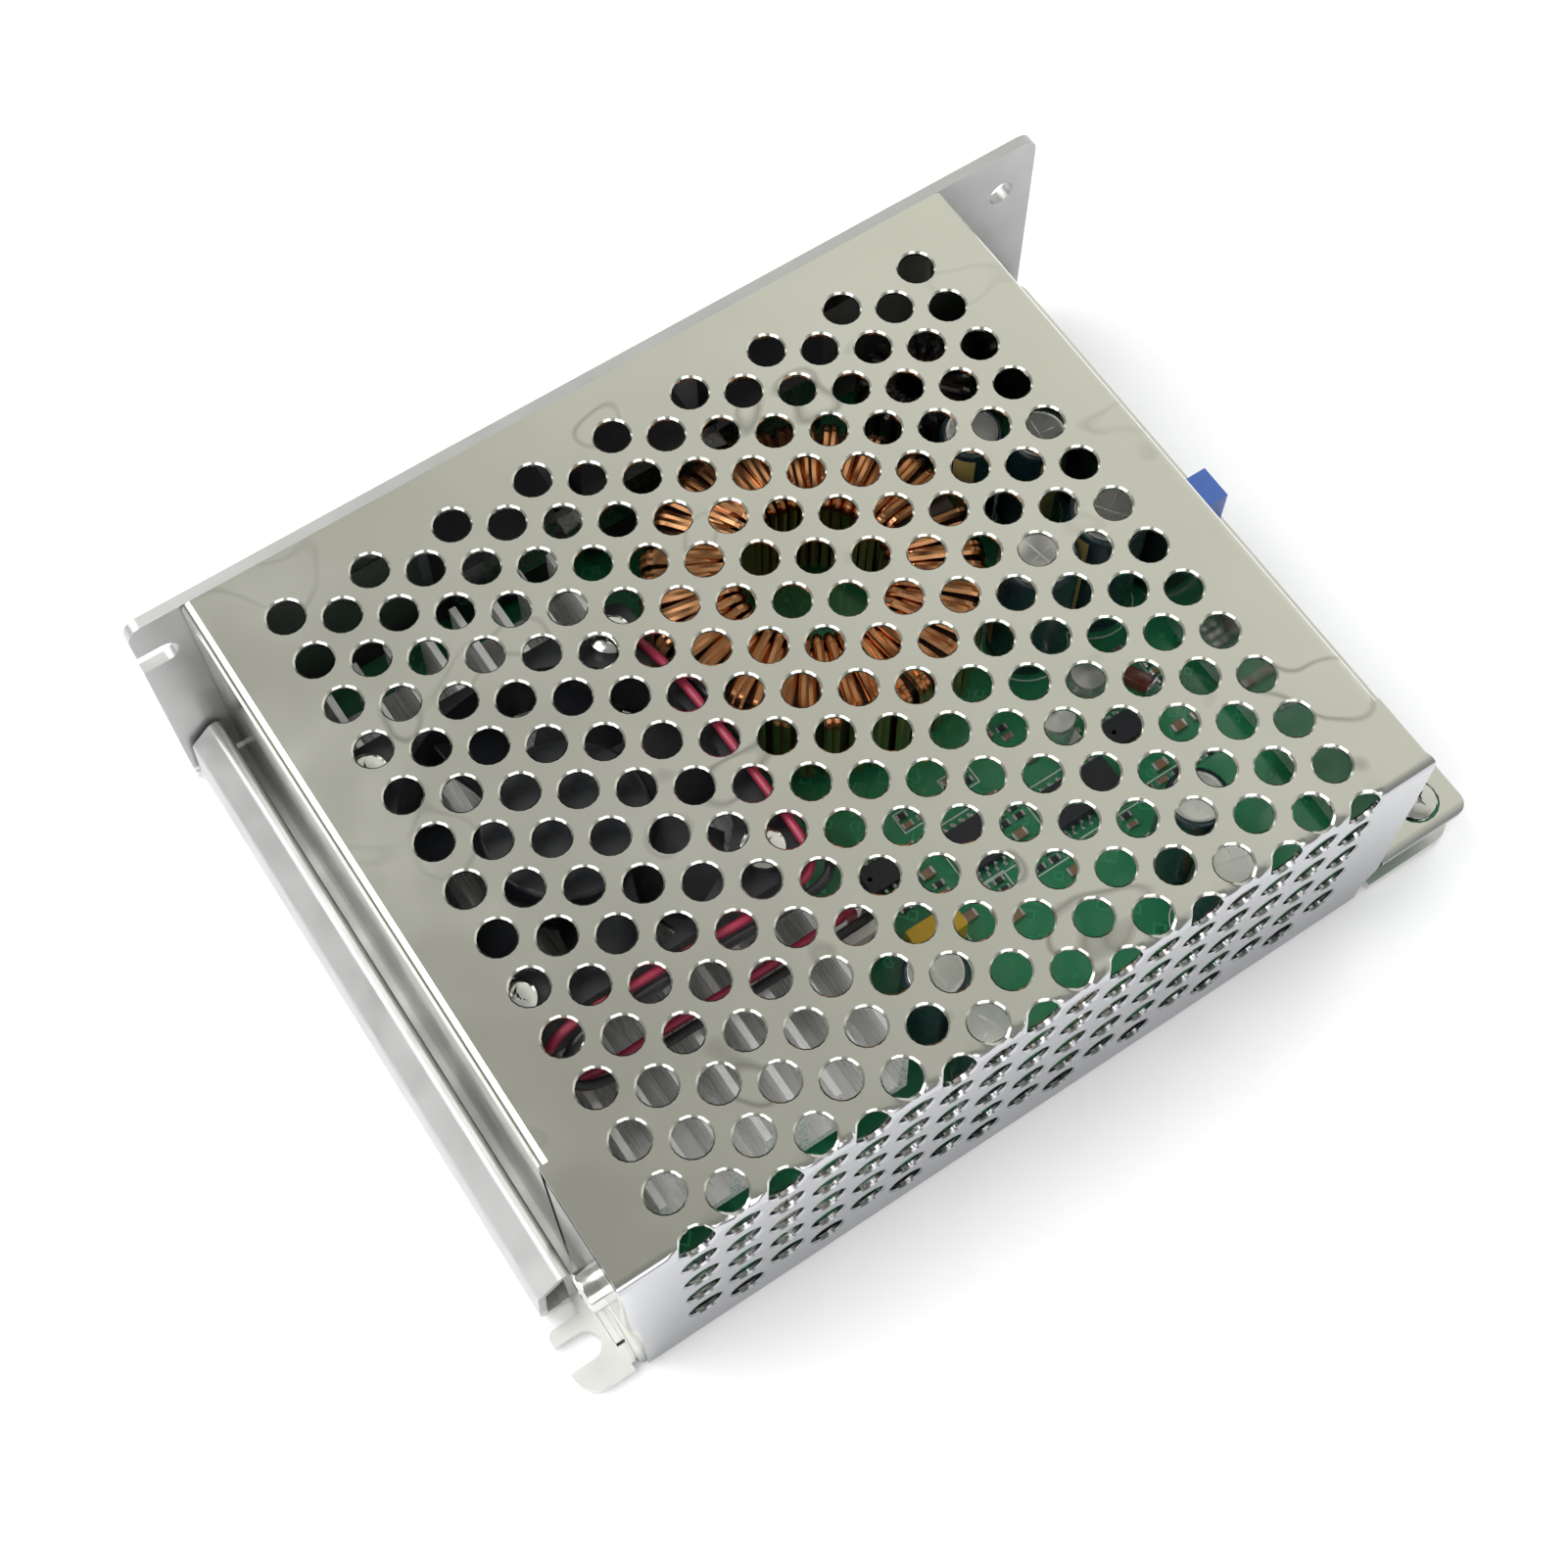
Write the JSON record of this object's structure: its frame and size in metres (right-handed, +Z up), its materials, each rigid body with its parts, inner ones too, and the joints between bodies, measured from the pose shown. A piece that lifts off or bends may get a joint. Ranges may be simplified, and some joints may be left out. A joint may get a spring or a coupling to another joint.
{
  "type": "buck converter module",
  "caption": "Flat step-down power module: folded aluminium chassis, perforated folded cover, terminal shelf at one end, fan-cooled heatsink and wound ring inductor inside.",
  "frame": {"origin": "centre of the footprint at the underside of the base, on the surface that the module stands on", "axes": "+X along the length to the terminal end, +Y to the long chassis wall, +Z up from the base to the perforated top"},
  "size_m": [0.129, 0.097, 0.038],
  "materials": {
    "chassis_aluminium": "plain mill finish",
    "tinned_sheet": "tinned, bright and slightly wavy",
    "zinc_steel": "zinc plated",
    "bright_steel": "bright plated",
    "nickel_steel": "nickel plated",
    "board_green": "green solder mask",
    "fin_aluminium": "plain extruded",
    "mould_black": "moulded",
    "pad_grey": "matt",
    "fan_black": "satin",
    "bearing_brass": "turned",
    "wire_red": "smooth insulation",
    "wire_black": "smooth insulation",
    "connector_white": "moulded",
    "core_iron": "painted powder core",
    "copper": "enamelled copper wire",
    "choke_dark": "dark varnished winding",
    "sleeve_dark": "dark sleeve with a bright top",
    "chip_ceramic": "fired",
    "can_aluminium": "bright",
    "diode_brown": "glossy",
    "film_yellow": "dipped",
    "trimmer_blue": "moulded"
  },
  "bodies": {
    "case": {"board_screws": "zinc_steel", "board_standoffs": "zinc_steel", "chassis": "chassis_aluminium", "chip_passives": "chip_ceramic", "circuit_board": "board_green", "clamp_bar": "zinc_steel", "clamp_screws": "zinc_steel", "control_chips": "mould_black", "cover": "tinned_sheet", "cover_screws": "zinc_steel", "driver_chips": "mould_black", "fan_bearing": "bearing_brass", "fan_frame": "fan_black", "fan_header": "connector_white", "fan_plug": "connector_white", "fan_screws": "bright_steel", "fan_wire_black": "wire_black", "fan_wire_red": "wire_red", "film_capacitor": "film_yellow", "filter_capacitors": "sleeve_dark", "filter_choke": "choke_dark", "heatsink": "fin_aluminium", "heatsink_pins": "zinc_steel", "input_capacitors": "sleeve_dark", "output_capacitors": "sleeve_dark", "small_cans": "can_aluminium", "small_diode": "diode_brown", "switch_transistors": "mould_black", "terminal_cages": "tinned_sheet", "terminal_screws": "nickel_steel", "thermal_pad": "pad_grey", "toroid_core": "core_iron", "toroid_winding": "copper", "trimmer_body": "trimmer_blue", "wall_devices": "mould_black", "wall_insulator": "pad_grey"},
    "rotor": {"fan_rotor": "fan_black"},
    "adjuster": {"trimmer_screw": "bearing_brass"}
  },
  "joints": [
    {"name": "fan_spin", "type": "hinge", "parent": "case", "child": "rotor", "pos_m": [-0.0339, 0.0011, 0.0302], "axis": [0, 0, 1], "continuous": true},
    {"name": "trimmer_turn", "type": "hinge", "parent": "case", "child": "adjuster", "pos_m": [0.0548, 0.0025, 0.016], "axis": [0, 0, 1], "continuous": true}
  ]
}
